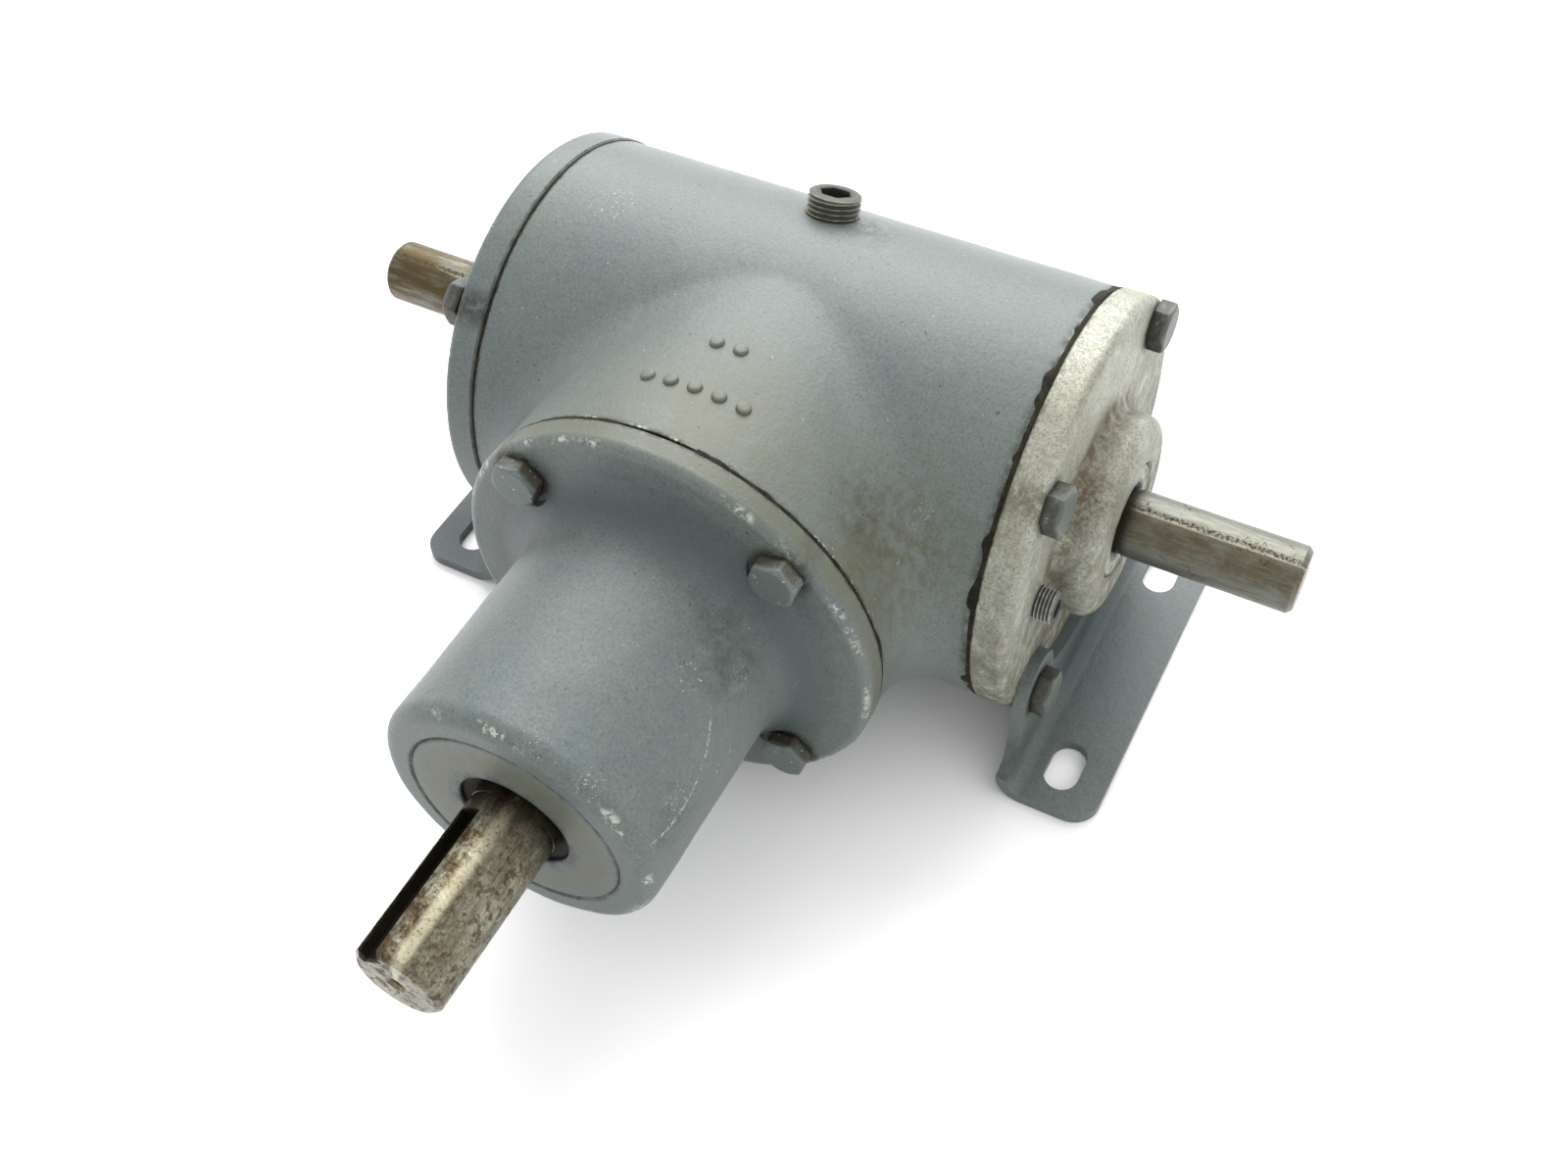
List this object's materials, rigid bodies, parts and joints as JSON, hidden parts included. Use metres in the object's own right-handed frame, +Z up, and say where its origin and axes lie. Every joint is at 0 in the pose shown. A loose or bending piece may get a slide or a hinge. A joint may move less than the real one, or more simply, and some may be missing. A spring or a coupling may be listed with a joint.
{
  "type": "right angle bevel gearbox",
  "caption": "Foot-mounted right angle bevel gearbox: a T-shaped housing with a through cross shaft, a pinion shaft in a tubular bearing housing, and slotted bracket feet.",
  "frame": {"origin": "centre of the four foot slots, on the plane that the feet stand on, straight below the crossing of the shaft axes", "axes": "+X along the pinion shaft towards its free end, +Y along the cross shaft towards the bare cover, +Z up; left and right are as seen from the pinion shaft's free end"},
  "size_m": [0.276, 0.308, 0.1363],
  "materials": {
    "housing_paint": "semi-gloss blue-grey paint over castings, with chips at the edges",
    "painted_bolts": "thin blue-grey paint over zinc-plated steel, grimy",
    "bare_aluminium": "bare sand casting, grimy, with brown stains",
    "gasket": "dark fibre gasket with sealant squeezed out",
    "seal_rubber": "black nitrile, oily",
    "bearing_steel": "ground and polished",
    "cage_brass": "pressed brass, oily",
    "dark_steel": "blackened steel, oily",
    "gear_steel": "hardened and oiled, flanks polished",
    "shaft_steel": "ground steel with brown stains and light rust"
  },
  "bodies": {
    "casing": {"housing": "housing_paint", "left_end_cover": "housing_paint", "right_end_cover": "bare_aluminium", "left_cover_gasket": "gasket", "right_cover_gasket": "gasket", "pinion_housing": "housing_paint", "pinion_flange_gasket": "gasket", "pinion_seal_case": "housing_paint", "pinion_seal_lip": "seal_rubber", "left_shaft_seal": "seal_rubber", "right_shaft_seal": "seal_rubber", "left_bearing_outer_ring": "bearing_steel", "right_bearing_outer_ring": "bearing_steel", "pinion_front_outer_ring": "bearing_steel", "pinion_rear_outer_ring": "bearing_steel", "bearing_retaining_ring": "dark_steel", "fill_plug": "dark_steel", "level_plug": "dark_steel", "left_foot_bracket": "housing_paint", "right_foot_bracket": "housing_paint", "pinion_flange_bolts": "painted_bolts", "left_cover_bolts": "painted_bolts", "right_cover_bolts": "painted_bolts", "left_foot_bolts": "painted_bolts", "right_foot_bolts": "painted_bolts"},
    "cross_shaft_set": {"cross_shaft": "shaft_steel", "bevel_gear": "gear_steel", "gear_key": "shaft_steel", "gear_spacer": "shaft_steel", "left_bearing_inner_ring": "bearing_steel", "right_bearing_inner_ring": "bearing_steel"},
    "pinion_shaft_set": {"pinion_shaft": "shaft_steel", "bevel_pinion": "gear_steel", "pinion_key": "shaft_steel", "pinion_retaining_ring": "dark_steel", "pinion_front_inner_ring": "bearing_steel", "pinion_rear_inner_ring": "bearing_steel"},
    "left_cage_set": {"left_bearing_balls": "bearing_steel", "left_bearing_cage": "cage_brass"},
    "right_cage_set": {"right_bearing_balls": "bearing_steel", "right_bearing_cage": "cage_brass"},
    "pinion_front_cage_set": {"pinion_front_balls": "bearing_steel", "pinion_front_cage": "cage_brass"},
    "pinion_rear_cage_set": {"pinion_rear_balls": "bearing_steel", "pinion_rear_cage": "cage_brass"}
  },
  "joints": [
    {"name": "cross_shaft_spin", "type": "hinge", "parent": "casing", "child": "cross_shaft_set", "pos_m": [0, 0, 0.07], "axis": [0, 1, 0], "continuous": true},
    {"name": "pinion_shaft_spin", "type": "hinge", "parent": "casing", "child": "pinion_shaft_set", "pos_m": [0.2, 0, 0.07], "axis": [1, 0, 0], "continuous": true},
    {"name": "left_cage_spin", "type": "hinge", "parent": "casing", "child": "left_cage_set", "pos_m": [0, -0.074, 0.07], "axis": [0, 1, 0], "continuous": true},
    {"name": "right_cage_spin", "type": "hinge", "parent": "casing", "child": "right_cage_set", "pos_m": [0, 0.074, 0.07], "axis": [0, 1, 0], "continuous": true},
    {"name": "pinion_front_cage_spin", "type": "hinge", "parent": "casing", "child": "pinion_front_cage_set", "pos_m": [0.146, 0, 0.07], "axis": [1, 0, 0], "continuous": true},
    {"name": "pinion_rear_cage_spin", "type": "hinge", "parent": "casing", "child": "pinion_rear_cage_set", "pos_m": [0.0785, 0, 0.07], "axis": [1, 0, 0], "continuous": true}
  ],
  "couplings": [
    {"joint": "pinion_shaft_spin", "follows": "cross_shaft_spin", "ratio": -1},
    {"joint": "left_cage_spin", "follows": "cross_shaft_spin", "ratio": 0.3815},
    {"joint": "right_cage_spin", "follows": "cross_shaft_spin", "ratio": 0.3815},
    {"joint": "pinion_front_cage_spin", "follows": "cross_shaft_spin", "ratio": -0.3678},
    {"joint": "pinion_rear_cage_spin", "follows": "cross_shaft_spin", "ratio": -0.3678}
  ]
}
